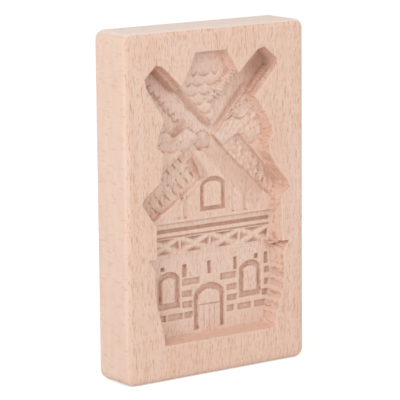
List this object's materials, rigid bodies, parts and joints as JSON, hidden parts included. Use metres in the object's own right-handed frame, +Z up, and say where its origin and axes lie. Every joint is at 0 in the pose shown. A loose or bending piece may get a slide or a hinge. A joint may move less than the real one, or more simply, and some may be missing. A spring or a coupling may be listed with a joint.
{
  "type": "wooden cookie mould",
  "caption": "Upright beech board with rounded corners and edges, its face carved with a windmill in hollow relief for pressing biscuit dough.",
  "frame": {"origin": "middle of the foot that the board stands on, half way through its thickness", "axes": "+X across the board to the right as the carved face is seen, +Y through it from the carved face to the back, +Z up the board"},
  "size_m": [0.1, 0.025, 0.16],
  "materials": {
    "beech": "bare, planed and fine-sanded, with chisel marks in the carving"
  },
  "bodies": {
    "root": {"mould": "beech"}
  },
  "joints": []
}
